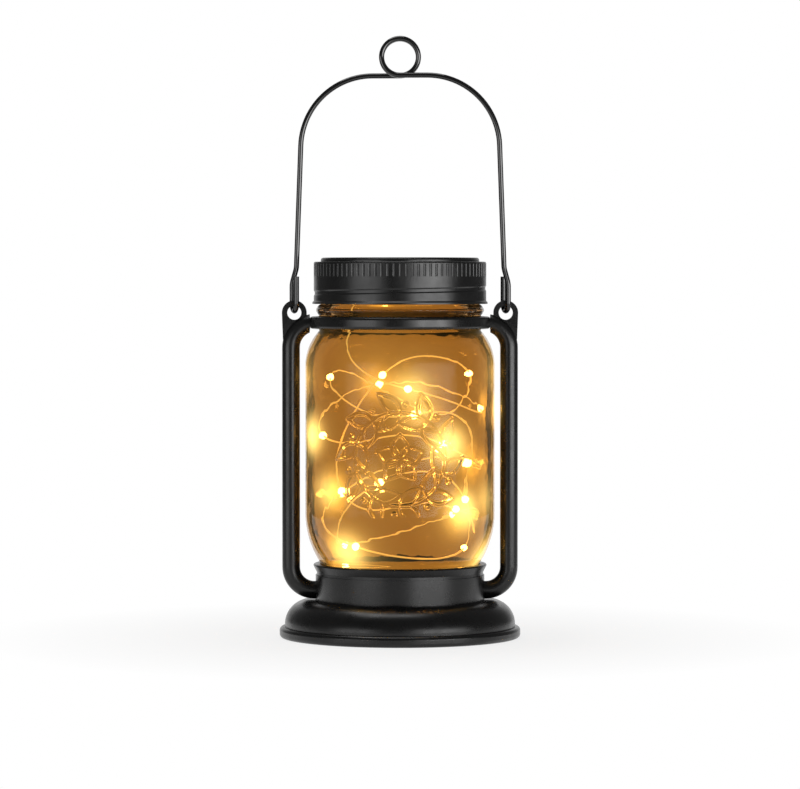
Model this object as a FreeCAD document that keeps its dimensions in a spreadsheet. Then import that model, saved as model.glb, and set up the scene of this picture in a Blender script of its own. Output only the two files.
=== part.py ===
import FreeCAD, Part
import math
import operator
import os

import Sketcher

Vector = FreeCAD.Vector
UP = Vector(0, 0, 1)

# Driving sizes in millimetres, angles in degrees, and counts. Every other size is worked out from these.
DRIVING = {
    # Foot: a hollow dome with a rounded rim and a socket for a pole underneath
    "foot_margin": 1.1,
    "rim_height": 4.6,
    "rim_round": 1.6,
    "dome_inset": 2.2,
    "dome_side": 1.1,
    "dome_round": 10.0,
    "foot_wall": 2.4,
    "pole_diameter": 16.0,
    "pole_clearance": 0.15,
    "socket_wall": 2.6,
    "socket_depth": 17.0,
    "socket_roof": 2.4,
    "socket_lift": 0.6,
    # Jar holder: the cup on the foot that the jar stands in
    "hub_clearance": 0.3,
    "holder_floor": 3.0,
    "holder_depth": 8.1,
    "jar_clearance": 0.35,
    "lip_wall": 2.7,
    "lip_edge": 0.7,
    "lip_height": 4.7,
    "lip_flare": 0.9,
    "waist_inset": 0.5,
    "waist_height": 1.2,
    "skirt_wall": 2.4,
    "boss_wall": 2.1,
    "holder_screw_circle": 24.0,
    "holder_screw_diameter": 3.0,
    "holder_screw_bite": 3.2,
    "holder_head_diameter": 5.6,
    "holder_head_height": 2.0,
    "screw_clearance": 0.05,
    # Glass jar
    "jar_radius": 39.5,
    "jar_wall": 3.0,
    "jar_floor": 5.5,
    "heel_height": 29.3,
    "heel_arc": 38.0,
    "heel_edge": 5.0,
    "heel_step": 3.7,
    "heel_round": 6.0,
    "punt_width": 3.0,
    "punt_height": 1.4,
    "body_height": 61.2,
    "shoulder_arc": 21.5,
    "neck_radius": 33.75,
    "neck_wall": 3.5,
    "bead_height": 4.2,
    "bead_arc": 2.4,
    "finish_step": 0.75,
    # Screw thread of the jar and the lid band
    "thread_lead": 4.2,
    "thread_rise": 4.6,
    "jar_thread_height": 1.2,
    "jar_thread_base": 2.0,
    "jar_thread_crest": 1.0,
    "jar_thread_turns": 1.5,
    "band_thread_gap": 0.5,
    "band_thread_base": 1.6,
    "band_thread_crest": 0.8,
    "band_thread_turns": 1.25,
    "thread_offset": 1.8,
    "thread_sink": 0.4,
    # Neck collar
    "collar_lift": 0.75,
    "collar_clearance": 0.6,
    "collar_wall": 3.25,
    "collar_height": 5.2,
    "collar_round": 1.3,
    "bead_clearance": 0.5,
    # Side bars and their lugs
    "bar_radius": 3.7,
    "bar_gap": 2.2,
    "bar_foot_gap": 0.3,
    "foot_bend": 9.6,
    "head_bend": 10.4,
    "tenon_radius": 1.7,
    "tenon_length": 2.0,
    "tenon_fit": 0.05,
    "seat_fit": 0.02,
    "lug_inset": 1.4,
    "lug_rise": 4.1,
    "lug_hole_radius": 2.95,
    "lug_ring_width": 2.2,
    "lug_thickness": 3.0,
    "lug_tail": 11.0,
    # Lid band
    "band_gap": 0.5,
    "band_height": 17.5,
    "band_play": 0.8,
    "band_wall": 0.9,
    "band_top_thickness": 0.9,
    "band_top_width": 2.6,
    "band_top_round": 0.7,
    "band_lip_width": 0.6,
    "band_lip_height": 1.3,
    "knurl_count": 88,
    "knurl_height": 5.2,
    "knurl_top_margin": 0.9,
    "knurl_depth": 0.35,
    "knurl_width": 1.3,
    "groove_depth": 0.35,
    "groove_width": 2.2,
    # Solar module in the lid
    "gasket_thickness": 1.1,
    "gasket_inset": 0.3,
    "flange_thickness": 1.6,
    "flange_gap": 0.7,
    "lid_play": 0.05,
    "disc_gap": 0.3,
    "disc_rise": 1.7,
    "disc_round": 1.1,
    "panel_margin": 2.4,
    "panel_thickness": 1.5,
    "panel_fit": 0.1,
    "panel_sink": 0.1,
    "ceiling_thickness": 2.2,
    "mouth_clearance": 1.0,
    "module_wall": 1.6,
    "cover_thickness": 1.5,
    "cover_fit": 0.1,
    "post_radius": 2.6,
    "post_margin": 0.4,
    "cover_screw_diameter": 2.0,
    "cover_screw_bite": 5.0,
    "cover_head_diameter": 4.0,
    "cover_head_height": 1.2,
    # Cell, contacts, board and switch inside the module
    "cell_diameter": 10.5,
    "cell_length": 29.2,
    "cell_nub_radius": 1.9,
    "cell_nub_length": 0.8,
    "cell_setback": 6.8,
    "cell_headroom": 1.8,
    "contact_thickness": 0.5,
    "contact_side": 8.0,
    "board_length": 30.0,
    "board_width": 12.0,
    "board_thickness": 1.2,
    "board_setback": 4.0,
    "board_drop": 5.2,
    "stud_radius": 1.6,
    "stud_spread": 12.0,
    "switch_side": 6.0,
    "switch_height": 3.4,
    "switch_nub_radius": 1.6,
    "button_radius": 2.7,
    "button_clearance": 0.25,
    "button_collar": 0.9,
    "button_collar_height": 0.8,
    "button_proud": 1.6,
    "button_travel": 0.8,
    "button_play": 0.05,
    # Wire gland and the string of lights
    "gland_distance": 20.0,
    "gland_radius": 2.2,
    "gland_flange": 1.2,
    "gland_flange_height": 1.0,
    "gland_snout_radius": 1.3,
    "gland_snout_height": 2.6,
    "gland_inside": 0.8,
    "wire_diameter": 0.7,
    "wire_fit": 0.03,
    "led_diameter": 3.0,
    "led_length": 3.2,
    "led_waist": 0.4,
    "led_tip": 0.4,
    # Wire bail
    "bail_diameter": 2.2,
    "eye_turn": 17.0,
    "eye_rise": 8.0,
    "eye_length": 11.0,
    "leg_inset": 0.8,
    "leg_start": 14.5,
    "leg_lean": 2.9,
    "eye_bend": 10.0,
    "bail_rise": 94.5,
    "corner_share": 0.96,
    "ring_radius": 7.65,
    "ring_pitch": 2.7,
    "ring_run": 9.0,
    "run_bend": 30.0,
}

# Where the light string leaves the lid: angle from the front towards the right
GLAND_ANGLE = 276.0

# Route of the light string: angle from the front towards the right, distance from the axis, height
WIRE_ROUTE = [
    (276, 20, 142), (276, 20, 132),
    (292, 25, 119), (338, 31, 108), (28, 36, 101), (75, 37, 92), (118, 36, 99), (168, 35, 107),
    (222, 36, 102), (268, 37, 89), (318, 37, 80), (8, 35, 88), (52, 36, 76), (98, 37, 68),
    (150, 37, 76), (205, 37, 66), (255, 36, 52), (302, 34, 43), (350, 31, 36), (45, 30, 34),
    (95, 31, 42), (120, 31, 62), (85, 32, 84), (40, 32, 97), (345, 33, 91), (300, 34, 104),
    (245, 31, 114), (190, 32, 101), (140, 32, 88), (100, 32, 105), (62, 28, 116), (5, 24, 119),
    (325, 28, 101), (290, 31, 71), (330, 34, 52), (20, 35, 60), (65, 36, 50), (110, 36, 55),
    (165, 35, 44), (215, 32, 36), (265, 29, 38), (318, 30, 60), (12, 30, 73), (60, 31, 65),
    (80, 31, 44),
]
ARC_SHARE = 0.45
FIRST_LED_RUN = 3
LED_EVERY = 2

doc = FreeCAD.newDocument("MasonJarLantern")
sheet = doc.addObject("Spreadsheet::Sheet", "Sizes")
for row, (alias, number) in enumerate(DRIVING.items(), 1):
    sheet.set(f"A{row}", alias)
    sheet.set(f"B{row}", str(number))
    sheet.setAlias(f"B{row}", alias)
doc.recompute()


class Size:
    """A number together with the sheet expression that gives it."""

    SIGNS = {"+": operator.add, "-": operator.sub, "*": operator.mul, "/": operator.truediv}

    def __init__(self, value, text=None):
        self.value = float(value)
        self.text = text or f"{self.value:g}"

    @staticmethod
    def join(left, sign, right):
        left, right = as_size(left), as_size(right)
        value = Size.SIGNS[sign](left.value, right.value)
        return Size(value, f"({left.text} {sign} {right.text})")

    def __add__(self, other):
        return Size.join(self, "+", other)

    def __radd__(self, other):
        return Size.join(other, "+", self)

    def __sub__(self, other):
        return Size.join(self, "-", other)

    def __rsub__(self, other):
        return Size.join(other, "-", self)

    def __mul__(self, other):
        return Size.join(self, "*", other)

    def __rmul__(self, other):
        return Size.join(other, "*", self)

    def __truediv__(self, other):
        return Size.join(self, "/", other)

    def __neg__(self):
        return Size.join(0, "-", self)


def as_size(value):
    return value if isinstance(value, Size) else Size(value)


def root(size):
    return Size(math.sqrt(size.value), f"sqrt({size.text})")


class SheetSizes:
    """The sheet's cells by name, as sizes."""

    def __getattr__(self, alias):
        return Size(sheet.get(alias), f"Sizes.{alias}")


s = SheetSizes()

# Heights and radii that several pieces share, from the foot up
bar_centre = s.jar_radius + s.bar_gap + s.bar_radius
rim_radius = bar_centre + s.bar_radius + s.foot_margin
dome_radius = rim_radius - s.dome_inset
dome_flat = dome_radius - s.dome_round
foot_top = s.rim_height + s.dome_side + s.dome_round
foot_ceiling = foot_top - s.foot_wall
socket_radius = s.pole_diameter / 2 + s.pole_clearance
hub_radius = socket_radius + s.socket_wall
hub_top = s.socket_depth + s.socket_roof
floor_bottom = hub_top + s.hub_clearance
jar_seat = floor_bottom + s.holder_floor
heel_top = jar_seat + s.heel_height
body_top = heel_top + s.body_height


def heel_radius(height, inset):
    """Radius of the jar's curved heel at a height, that far inside the outer glass."""
    arc = s.heel_arc - inset
    drop = heel_top - height
    return s.jar_radius - s.heel_arc + root(arc * arc - drop * drop)


def shoulder_end(radius, inset):
    """Height where the jar's shoulder comes in to a radius, that far inside the outer glass."""
    arc = s.shoulder_arc - inset
    side = radius - (s.jar_radius - s.shoulder_arc)
    return body_top + root(arc * arc - side * side)


lip_top = jar_seat + s.holder_depth
holder_inner = heel_radius(lip_top, 0) + s.jar_clearance
lip_radius = holder_inner + s.lip_wall
holder_radius = lip_radius - s.lip_flare
mouth_radius = s.neck_radius - s.neck_wall
finish_radius = s.neck_radius - s.finish_step
neck_bottom = shoulder_end(s.neck_radius, 0)
collar_bottom = neck_bottom + s.collar_lift
collar_top = collar_bottom + s.collar_height
collar_inner = s.neck_radius + s.collar_clearance
collar_radius = collar_inner + s.collar_wall
bead_bottom = collar_top + s.bead_clearance
bead_top = bead_bottom + s.bead_height
band_bottom = bead_top + s.band_gap
band_top = band_bottom + s.band_height
band_inner = finish_radius + s.jar_thread_height + s.band_play
band_radius = band_inner + s.band_wall
band_opening = band_radius - s.band_top_width
flange_top = band_top - s.band_top_thickness - s.lid_play
flange_bottom = flange_top - s.flange_thickness
rim_top = flange_bottom - s.gasket_thickness
disc_top = band_top + s.disc_rise
disc_radius = band_opening - s.disc_gap
disc_top_radius = disc_radius - s.disc_round
panel_side = (disc_top_radius - s.panel_margin) * math.sqrt(2)
panel_floor = disc_top - s.panel_sink - s.panel_thickness
ceiling = panel_floor - s.ceiling_thickness
cover_top = ceiling - s.cell_headroom - s.cell_diameter
cover_bottom = cover_top - s.cover_thickness
module_radius = mouth_radius - s.mouth_clearance
module_inner = module_radius - s.module_wall
post_circle = module_inner - s.post_radius - s.post_margin
bar_foot = foot_top + s.bar_foot_gap + s.bar_radius
bar_head = collar_bottom + s.collar_height / 2
lug_centre = bar_centre - s.lug_inset
lug_height = bar_head + s.lug_rise
lug_radius = s.lug_hole_radius + s.lug_ring_width
bail_axis = lug_height + s.lug_hole_radius + s.lug_ring_width / 2
thread_start = bead_top + s.thread_rise
gland_x = s.gland_distance * math.sin(math.radians(GLAND_ANGLE))
gland_y = s.gland_distance * -math.cos(math.radians(GLAND_ANGLE))
board_bottom = ceiling - s.board_drop - s.board_thickness
board_middle = s.board_setback + s.board_width / 2
button_top = cover_top + s.button_play + s.button_collar_height
switch_bottom = board_bottom - s.switch_height


def new_body(label):
    return doc.addObject("PartDesign::Body", label)


def origin_feature(body, role):
    return next(item for item in body.Origin.OriginFeatures if item.Role == role)


def new_sketch(body, role, name, lift=None):
    """A sketch on one of the body's own planes, moved along the plane's normal by lift."""
    sketch = body.newObject("Sketcher::SketchObject", f"{body.Name}_{name}")
    sketch.AttachmentSupport = [(origin_feature(body, role), "")]
    sketch.MapMode = "FlatFace"
    if lift is not None:
        sketch.setExpression("AttachmentOffset.Base.z", lift.text)
        sketch.AttachmentOffset = FreeCAD.Placement(Vector(0, 0, lift.value), FreeCAD.Rotation())
    return sketch


def bind(sketch, constraint, size):
    """Adds a constraint whose value follows the sheet."""
    index = sketch.addConstraint(constraint)
    sketch.setExpression(f"Constraints[{index}]", size.text)


def pin_point(sketch, edge, end, point):
    """Fixes one end of an edge at a point given as two sizes."""
    for axis, kind, size in ((-2, "DistanceX", point[0]), (-1, "DistanceY", point[1])):
        size = as_size(size)
        if size.text == "0":
            sketch.addConstraint(Sketcher.Constraint("PointOnObject", edge, end, axis))
        else:
            bind(sketch, Sketcher.Constraint(kind, -1, 1, edge, end, size.value), size)


def draw_outline(sketch, points, arcs=None, closed=True):
    """Draws straight edges and arcs through the points. arcs gives the radius of the edge that leaves a
    point, positive where it turns left and negative where it turns right."""
    arcs = arcs or {}
    first = sketch.GeometryCount
    count = len(points) if closed else len(points) - 1
    ends = []
    for i in range(count):
        here, there = points[i], points[(i + 1) % len(points)]
        a = Vector(as_size(here[0]).value, as_size(here[1]).value, 0)
        b = Vector(as_size(there[0]).value, as_size(there[1]).value, 0)
        if i not in arcs:
            sketch.addGeometry(Part.LineSegment(a, b))
            ends.append((1, 2))
            continue
        radius, turn = arcs[i]
        middle = (a + b) / 2
        half = (b - a).Length / 2
        left = UP.cross(b - a).normalize()
        centre = middle + left * (turn * math.sqrt(radius.value**2 - half**2))
        low, high = (a, b) if turn > 0 else (b, a)
        start = math.atan2(low.y - centre.y, low.x - centre.x)
        stop = math.atan2(high.y - centre.y, high.x - centre.x)
        circle = Part.Circle(centre, UP, radius.value)
        sketch.addGeometry(Part.ArcOfCircle(circle, start, stop))
        ends.append((1, 2) if turn > 0 else (2, 1))
    for i in range(count if closed else count - 1):
        j = (i + 1) % count
        sketch.addConstraint(Sketcher.Constraint("Coincident", first + i, ends[i][1], first + j, ends[j][0]))
    for i in range(count):
        pin_point(sketch, first + i, ends[i][0], points[i])
    if not closed:
        pin_point(sketch, first + count - 1, ends[-1][1], points[-1])
    for i, (radius, turn) in arcs.items():
        bind(sketch, Sketcher.Constraint("Radius", first + i, radius.value), radius)


def draw_circle(sketch, centre, radius):
    """Draws a circle whose centre and radius follow the sheet."""
    middle = Vector(as_size(centre[0]).value, as_size(centre[1]).value, 0)
    edge = sketch.addGeometry(Part.Circle(middle, UP, radius.value))
    pin_point(sketch, edge, 3, centre)
    bind(sketch, Sketcher.Constraint("Radius", edge, radius.value), radius)


def turned(label, points, arcs=None):
    """A body turned about the vertical axis from an outline of radius and height."""
    body = new_body(label)
    sketch = new_sketch(body, "XZ_Plane", "outline")
    draw_outline(sketch, points, arcs)
    turn = body.newObject("PartDesign::Revolution", f"{label}_turn")
    turn.Profile = sketch
    turn.ReferenceAxis = (sketch, ["V_Axis"])
    turn.Angle = 360
    doc.recompute()
    return body


def changed(body, before, grows):
    """Recomputes and makes sure that the last feature added or took away material."""
    doc.recompute()
    after = body.Shape.Volume
    if (after > before) != grows or abs(after - before) < 0.01:
        raise RuntimeError(f"{body.Label}: {body.Tip.Name} changed the volume from {before} to {after}")


def pocket(body, name, role, lift, shapes, depth, reverse=False):
    """Cuts circles to a depth from a plane, against the plane's normal unless reversed."""
    before = body.Shape.Volume
    sketch = new_sketch(body, role, f"{name}_sketch", lift)
    for centre, radius in shapes:
        draw_circle(sketch, centre, radius)
    cut = body.newObject("PartDesign::Pocket", f"{body.Name}_{name}")
    cut.Profile = sketch
    cut.setExpression("Length", depth.text)
    cut.Reversed = reverse
    changed(body, before, False)
    return cut


def pad(body, name, role, lift, shapes, depth, reverse=False):
    """Adds round studs of a length from a plane, along the plane's normal unless reversed."""
    before = body.Shape.Volume
    sketch = new_sketch(body, role, f"{name}_sketch", lift)
    for centre, radius in shapes:
        draw_circle(sketch, centre, radius)
    stud = body.newObject("PartDesign::Pad", f"{body.Name}_{name}")
    stud.Profile = sketch
    stud.setExpression("Length", depth.text)
    stud.Reversed = reverse
    changed(body, before, True)
    return stud


def around(body, name, features, count):
    """Repeats features evenly about the vertical axis."""
    ring = body.newObject("PartDesign::PolarPattern", f"{body.Name}_{name}")
    ring.Originals = features
    ring.Axis = (origin_feature(body, "Z_Axis"), [""])
    ring.Angle = 360
    if isinstance(count, Size):
        ring.setExpression("Occurrences", count.text)
    else:
        ring.Occurrences = count
    body.Tip = ring
    doc.recompute()


def thread(body, kind, name, points, turns):
    """A ridge or groove that winds up about the vertical axis with the thread's lead."""
    before = body.Shape.Volume
    sketch = new_sketch(body, "XZ_Plane", f"{name}_sketch")
    draw_outline(sketch, points)
    helix = body.newObject(f"PartDesign::{kind}", f"{body.Name}_{name}")
    helix.Profile = sketch
    helix.ReferenceAxis = (sketch, ["V_Axis"])
    helix.Mode = "pitch-turns-angle"
    helix.setExpression("Pitch", s.thread_lead.text)
    helix.setExpression("Turns", turns.text)
    changed(body, before, kind == "AdditiveHelix")


def ridge(inner, outer, middle, inner_width, outer_width):
    """Outline of a thread ridge between two radii, about a height."""
    return [
        (inner, middle - inner_width / 2),
        (outer, middle - outer_width / 2),
        (outer, middle + outer_width / 2),
        (inner, middle + inner_width / 2),
    ]


def solid_of(label, shape):
    """A document object that holds a shape made from the sheet's sizes."""
    item = doc.addObject("Part::Feature", label)
    item.Shape = shape
    item.Placement = FreeCAD.Placement()
    return item


def placed(kind, label, corner, **sizes):
    """A Part primitive whose sizes and place follow the sheet."""
    item = doc.addObject(f"Part::{kind}", label)
    for name, size in sizes.items():
        item.setExpression(name, as_size(size).text)
    for axis, size in zip("xyz", corner):
        item.setExpression(f"Placement.Base.{axis}", as_size(size).text)
    return item


def fused(label, base, tool):
    item = doc.addObject("Part::Fuse", label)
    item.Base = base
    item.Tool = tool
    return item


def screw_set(label, circle, turns, head_low, head, shank, length):
    """Equal screws on a circle, heads down, as separate solids."""
    screws = []
    head_radius, head_height = head
    for turn in turns:
        angle = math.radians(turn)
        foot = Vector(circle.value * math.cos(angle), circle.value * math.sin(angle), head_low.value)
        cap = Part.makeCylinder(head_radius.value, head_height.value, foot)
        stem = Part.makeCylinder(shank.value, head_height.value + length.value, foot)
        screws.append(cap.fuse(stem).removeSplitter())
    return solid_of(label, Part.makeCompound(screws))


def rounded_path(points, radii):
    """Straight runs joined by tangent arcs. Returns the edges, and sample points along them."""
    edges = []
    samples = [points[0]]
    here = points[0]

    def straight(goal):
        if (goal - here).Length > 1e-4:
            edges.append(Part.LineSegment(here, goal).toShape())
            steps = max(1, int((goal - here).Length))
            samples.extend(here + (goal - here) * (k / steps) for k in range(1, steps + 1))

    for i in range(1, len(points) - 1):
        come = (points[i] - points[i - 1]).normalize()
        leave = (points[i + 1] - points[i]).normalize()
        turn = come.getAngle(leave)
        reach = radii[i - 1] * math.tan(turn / 2)
        start = points[i] - come * reach
        stop = points[i] + leave * reach
        straight(start)
        inward = (leave - come).normalize()
        centre = points[i] + inward * (radii[i - 1] / math.cos(turn / 2))
        arc = Part.Arc(start, centre - inward * radii[i - 1], stop)
        edges.append(arc.toShape())
        steps = max(2, int(arc.length()))
        low, high = arc.FirstParameter, arc.LastParameter
        samples.extend(arc.value(low + (high - low) * k / steps) for k in range(1, steps + 1))
        here = stop
    straight(points[-1])
    return edges, samples


def biarc(start, start_way, stop, stop_way):
    """Two tangent arcs from a point and direction to another. Returns their edges and mid points."""
    span = stop - start
    both = start_way + stop_way
    bend = 2 * (1 - start_way.dot(stop_way))
    lean = span.dot(both)
    reach = (math.sqrt(lean * lean + bend * span.dot(span)) - lean) / bend
    joint = (start + stop + (start_way - stop_way) * reach) / 2
    edges = []
    mids = []
    for low, corner, high in (
        (start, start + start_way * reach, joint),
        (joint, stop - stop_way * reach, stop),
    ):
        weight = (high - low).Length / (2 * (corner - low).Length)
        middle = (low + corner * (2 * weight) + high) / (2 + 2 * weight)
        edges.append(Part.Arc(low, middle, high).toShape())
        mids += [middle, high]
    return edges, mids


def swept(edges, diameter):
    """A round tube along edges that meet in one direction. Its volume is compared with its length."""
    path = Part.Wire(edges)
    begin = edges[0].firstVertex().Point
    way = edges[0].tangentAt(edges[0].FirstParameter)
    section = Part.Wire(Part.makeCircle(diameter / 2, begin, way))
    tube = path.makePipeShell([section], True, False)
    expected = math.pi * diameter**2 / 4 * path.Length
    if abs(tube.Volume / expected - 1) > 0.005:
        raise RuntimeError(f"tube of {tube.Volume} mm3, expected {expected}")
    return tube, path.Length


def least_gap(samples, diameter, apart):
    """Least gap of a tube to itself, between samples further apart along it than a length."""
    least = math.inf
    along = [0.0]
    for a, b in zip(samples, samples[1:]):
        along.append(along[-1] + (b - a).Length)
    for i, point in enumerate(samples):
        for j in range(i + 1, len(samples)):
            if along[j] - along[i] > apart:
                least = min(least, (samples[j] - point).Length)
    return least - diameter


def make_base_foot():
    points = [
        (socket_radius, s.socket_lift),
        (socket_radius, s.socket_depth),
        (0, s.socket_depth),
        (0, hub_top),
        (hub_radius, hub_top),
        (hub_radius, foot_top),
        (dome_flat, foot_top),
        (dome_radius, foot_top - s.dome_round),
        (dome_radius, s.rim_height),
        (rim_radius - s.rim_round, s.rim_height),
        (rim_radius, s.rim_height - s.rim_round),
        (rim_radius, s.rim_round),
        (rim_radius - s.rim_round, 0),
        (dome_radius - s.foot_wall, 0),
        (dome_radius - s.foot_wall, foot_top - s.dome_round),
        (dome_flat, foot_ceiling),
        (hub_radius, foot_ceiling),
        (hub_radius, s.socket_lift),
    ]
    arcs = {
        6: (s.dome_round, -1),
        9: (s.rim_round, -1),
        11: (s.rim_round, -1),
        14: (s.dome_round - s.foot_wall, 1),
    }
    body = turned("base_foot", points, arcs)
    hole = s.holder_screw_diameter / 2 + s.screw_clearance
    cut = pocket(body, "screw_hole", "XY_Plane", foot_top, [((0, s.holder_screw_circle), hole)], s.foot_wall)
    around(body, "screw_holes", [cut], 3)
    return body


def make_jar_holder():
    waist = holder_radius - s.waist_inset
    waist_low = lip_top - s.lip_height
    points = [
        (0, jar_seat),
        (holder_inner, jar_seat),
        (holder_inner, lip_top),
        (lip_radius - s.lip_edge, lip_top),
        (lip_radius, lip_top - s.lip_edge),
        (waist, waist_low + s.waist_height),
        (waist, waist_low),
        (holder_radius, waist_low),
        (holder_radius, foot_top),
        (holder_radius - s.skirt_wall, foot_top),
        (holder_radius - s.skirt_wall, floor_bottom),
        (0, floor_bottom),
    ]
    body = turned("jar_holder", points, {3: (s.lip_edge, -1)})
    shank = s.holder_screw_diameter / 2 + s.screw_clearance
    spot = (0, s.holder_screw_circle)
    boss = pad(body, "boss", "XY_Plane", foot_top, [(spot, shank + s.boss_wall)], floor_bottom - foot_top)
    hole = pocket(body, "boss_hole", "XY_Plane", foot_top, [(spot, shank)], s.holder_screw_bite, True)
    around(body, "bosses", [boss, hole], 3)
    add_tenon_sockets(body, holder_radius, bar_foot)
    return body


def add_tenon_sockets(body, wall_radius, height):
    """Two sideways holes for the tenons of the side bars."""
    hole = s.tenon_radius + s.tenon_fit
    depth = s.tenon_length + s.tenon_fit
    cut = pocket(body, "tenon_socket", "YZ_Plane", wall_radius, [((0, height), hole)], depth)
    around(body, "tenon_sockets", [cut], 2)


def make_side_bar():
    body = new_body("right_side_bar")
    foot_start = holder_radius - s.tenon_length
    head_stop = collar_radius - s.tenon_length
    spine = new_sketch(body, "XZ_Plane", "spine")
    draw_outline(
        spine,
        [
            (foot_start, bar_foot),
            (bar_centre - s.foot_bend, bar_foot),
            (bar_centre, bar_foot + s.foot_bend),
            (bar_centre, bar_head - s.head_bend),
            (bar_centre - s.head_bend, bar_head),
        ],
        {1: (s.foot_bend, 1), 3: (s.head_bend, 1)},
        closed=False,
    )
    section = new_sketch(body, "YZ_Plane", "section", foot_start)
    draw_circle(section, (0, bar_foot), s.bar_radius)
    doc.recompute()
    rod = body.newObject("PartDesign::AdditivePipe", "side_bar_rod")
    rod.Profile = section
    rod.Spine = (spine, [f"Edge{n + 1}" for n in range(spine.GeometryCount)])
    doc.recompute()
    before = body.Shape.Volume
    ends = new_sketch(body, "XZ_Plane", "ends")
    for radius, middle, half in (
        (holder_radius + s.seat_fit, bar_foot, s.bar_radius * 1.5),
        (collar_radius + s.seat_fit, bar_head, s.bar_radius * 2),
    ):
        low, high = middle - half, middle + half
        draw_outline(ends, [(0, low), (radius, low), (radius, high), (0, high)])
    trim = body.newObject("PartDesign::Groove", "side_bar_ends")
    trim.Profile = ends
    trim.ReferenceAxis = (ends, ["V_Axis"])
    trim.Angle = 360
    changed(body, before, False)
    add_lug(body)
    reach = s.tenon_length + s.bar_radius
    pad(body, "foot_tenon", "YZ_Plane", foot_start, [((0, bar_foot), s.tenon_radius)], reach)
    pad(body, "head_tenon", "YZ_Plane", head_stop, [((0, bar_head), s.tenon_radius)], reach)
    return body


def add_lug(body):
    """A flat eye on the outside of the bar's bend, for the bail."""
    before = body.Shape.Volume
    outline = new_sketch(body, "XZ_Plane", "lug_outline")
    side = s.bar_radius * 0.9
    draw_outline(
        outline,
        [
            (lug_centre + lug_radius, lug_height),
            (lug_centre, lug_height + lug_radius),
            (lug_centre - lug_radius, lug_height),
            (lug_centre - lug_radius, bar_head),
            (bar_centre, lug_height - s.lug_tail - lug_radius),
            (bar_centre + side, lug_height - s.lug_tail),
        ],
        {0: (lug_radius, 1), 1: (lug_radius, 1)},
    )
    plate = body.newObject("PartDesign::Pad", "lug_plate")
    plate.Profile = outline
    plate.setExpression("Length", s.lug_thickness.text)
    plate.Midplane = True
    changed(body, before, True)
    before = body.Shape.Volume
    ring = new_sketch(body, "XZ_Plane", "lug_hole_sketch")
    draw_circle(ring, (lug_centre, lug_height), s.lug_hole_radius)
    hole = body.newObject("PartDesign::Pocket", "lug_hole")
    hole.Profile = ring
    hole.setExpression("Length", (s.lug_thickness * 2).text)
    hole.Midplane = True
    changed(body, before, False)


def make_left_bar(right_bar):
    """The other bar is the mirror image of the first."""
    item = doc.addObject("Part::Mirroring", "left_side_bar")
    item.Source = right_bar
    item.Normal = Vector(1, 0, 0)
    return item


def make_neck_collar():
    points = [
        (collar_inner, collar_bottom),
        (collar_radius - s.collar_round, collar_bottom),
        (collar_radius, collar_bottom + s.collar_round),
        (collar_radius, collar_top - s.collar_round),
        (collar_radius - s.collar_round, collar_top),
        (collar_inner, collar_top),
    ]
    body = turned("neck_collar", points, {1: (s.collar_round, 1), 3: (s.collar_round, 1)})
    add_tenon_sockets(body, collar_radius, bar_head)
    return body


def make_glass_jar():
    edge = jar_seat + s.heel_edge
    edge_radius = heel_radius(edge, 0)
    foot_radius = edge_radius - s.heel_step
    floor = jar_seat + s.jar_floor
    inner_edge = floor + s.heel_edge
    inner_radius = heel_radius(inner_edge, s.jar_wall)
    points = [
        (0, jar_seat + s.punt_height),
        (foot_radius - s.punt_width - s.punt_height, jar_seat + s.punt_height),
        (foot_radius - s.punt_width, jar_seat),
        (foot_radius, jar_seat),
        (edge_radius, edge),
        (s.jar_radius, heel_top),
        (s.jar_radius, body_top),
        (s.neck_radius, neck_bottom),
        (s.neck_radius, bead_bottom),
        (s.neck_radius, bead_top),
        (finish_radius, bead_top),
        (finish_radius, rim_top),
        (mouth_radius, rim_top),
        (mouth_radius, shoulder_end(mouth_radius, s.jar_wall)),
        (s.jar_radius - s.jar_wall, body_top),
        (s.jar_radius - s.jar_wall, heel_top),
        (inner_radius, inner_edge),
        (inner_radius - s.heel_step, floor),
        (0, floor),
    ]
    arcs = {
        3: (s.heel_round, 1),
        4: (s.heel_arc, 1),
        6: (s.shoulder_arc, 1),
        8: (s.bead_arc, 1),
        13: (s.shoulder_arc - s.jar_wall, -1),
        15: (s.heel_arc - s.jar_wall, -1),
        16: (s.heel_round, -1),
    }
    body = turned("glass_jar", points, arcs)
    crest = finish_radius + s.jar_thread_height
    outline = ridge(finish_radius - s.thread_sink, crest, thread_start, s.jar_thread_base, s.jar_thread_crest)
    thread(body, "AdditiveHelix", "thread", outline, s.jar_thread_turns)
    return body


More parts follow.
